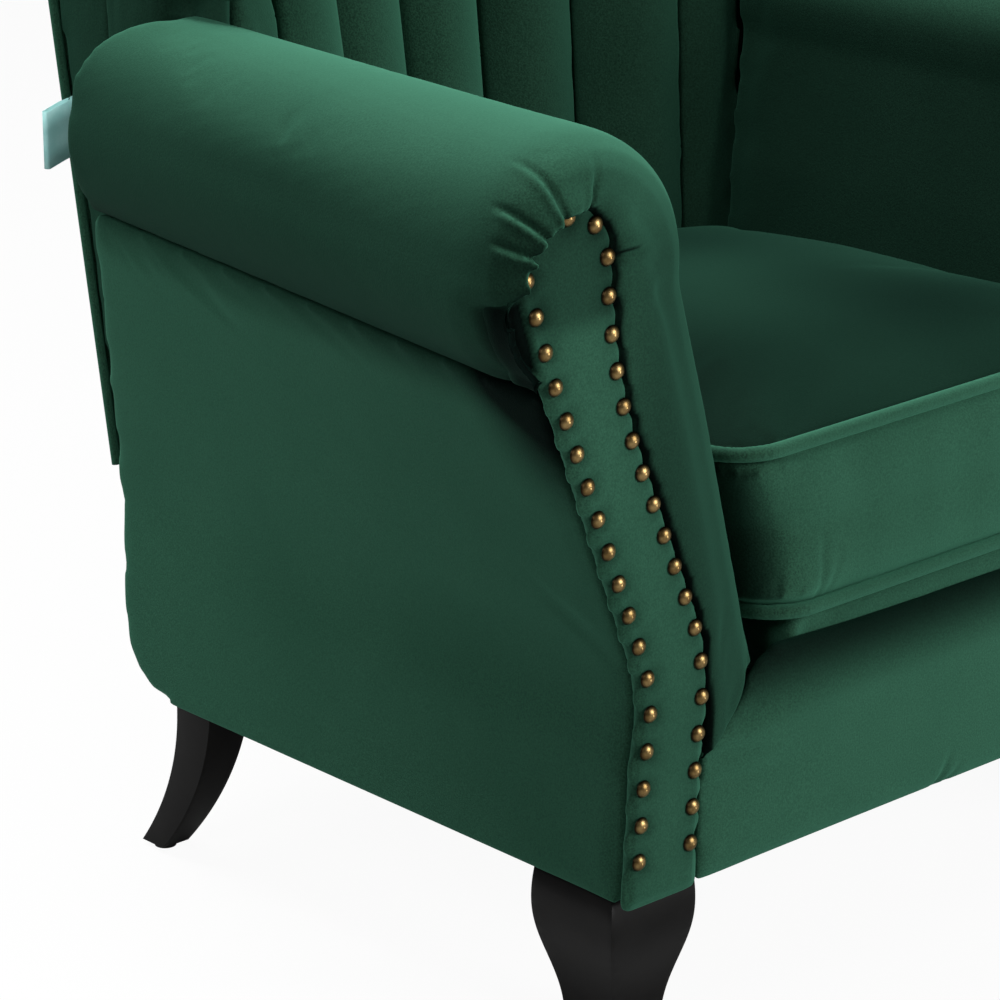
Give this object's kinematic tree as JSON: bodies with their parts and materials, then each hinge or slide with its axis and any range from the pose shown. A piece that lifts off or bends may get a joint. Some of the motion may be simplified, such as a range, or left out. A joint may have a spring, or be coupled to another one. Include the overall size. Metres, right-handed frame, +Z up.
{
  "type": "wingback chair",
  "caption": "Upholstered wingback chair with scroll arms, a channelled inside back, a loose piped seat cushion, domed nail trim, cabriole front legs and sabre rear legs.",
  "frame": {"origin": "on the floor, in the middle of the bounding box in plan", "axes": "+Z up, +Y from the front of the seat towards the back, +X to the right as seen from the front"},
  "size_m": [0.8836, 0.6725, 1.0004],
  "materials": {
    "velvet": "cut velvet pile",
    "black_lacquer": "satin lacquer",
    "frame_timber": "sawn",
    "antique_brass": "antique, domed",
    "frame_steel": "plain",
    "dark_cloth": "woven",
    "foam": "open cell",
    "glide_plastic": "moulded",
    "ribbon": "satin weave",
    "zip_plastic": "moulded"
  },
  "bodies": {
    "base": {"front_rail": "frame_timber", "rear_rail": "frame_timber", "left_side_rail": "frame_timber", "right_side_rail": "frame_timber", "corner_blocks": "frame_timber", "seat_springs": "frame_steel", "spring_clips": "frame_steel", "seat_deck": "velvet", "front_cover": "velvet", "rear_cover": "velvet", "dust_cover": "dark_cloth", "left_front_leg": "black_lacquer", "right_front_leg": "black_lacquer", "left_rear_leg": "black_lacquer", "right_rear_leg": "black_lacquer", "foot_glides": "glide_plastic", "leg_bolts": "frame_steel", "tee_nuts": "frame_steel", "back_sockets": "frame_steel", "left_front_post": "frame_timber", "left_rear_post": "frame_timber", "left_arm_rail": "frame_timber", "left_arm_pad": "velvet", "left_side_panel": "velvet", "left_facing": "velvet", "left_facing_nails": "antique_brass", "right_front_post": "frame_timber", "right_rear_post": "frame_timber", "right_arm_rail": "frame_timber", "right_arm_pad": "velvet", "right_side_panel": "velvet", "right_facing": "velvet", "right_facing_nails": "antique_brass"},
    "back": {"left_stile": "frame_timber", "right_stile": "frame_timber", "back_bottom_rail": "frame_timber", "lumbar_rail": "frame_timber", "back_top_rail": "frame_timber", "webbing": "dark_cloth", "back_foam": "foam", "channel_1": "velvet", "channel_2": "velvet", "channel_3": "velvet", "channel_4": "velvet", "channel_5": "velvet", "left_inside_wing": "velvet", "right_inside_wing": "velvet", "left_wing": "velvet", "right_wing": "velvet", "left_side_band": "velvet", "right_side_band": "velvet", "top_border": "velvet", "outside_back": "velvet", "back_tongues": "frame_steel", "ribbon_tab": "ribbon"},
    "cushion": {"cushion_core": "foam", "cushion_cover": "velvet", "cushion_piping": "velvet", "zip_chain": "zip_plastic"},
    "zip_slider": {"zip_slider": "zip_plastic"}
  },
  "joints": [
    {"name": "back_lift", "type": "slide", "parent": "base", "child": "back", "axis": [0, 0.1219, 0.9925], "range_m": [0, 0.09]},
    {"name": "cushion_lift", "type": "slide", "parent": "base", "child": "cushion", "axis": [0, 0, 1], "range_m": [0, 0.25]},
    {"name": "zip_run", "type": "hinge", "parent": "cushion", "child": "zip_slider", "pos_m": [0, -0.16034, 0.34029], "axis": [0, 0.061, 0.9981], "range_deg": [-18, 18]}
  ]
}
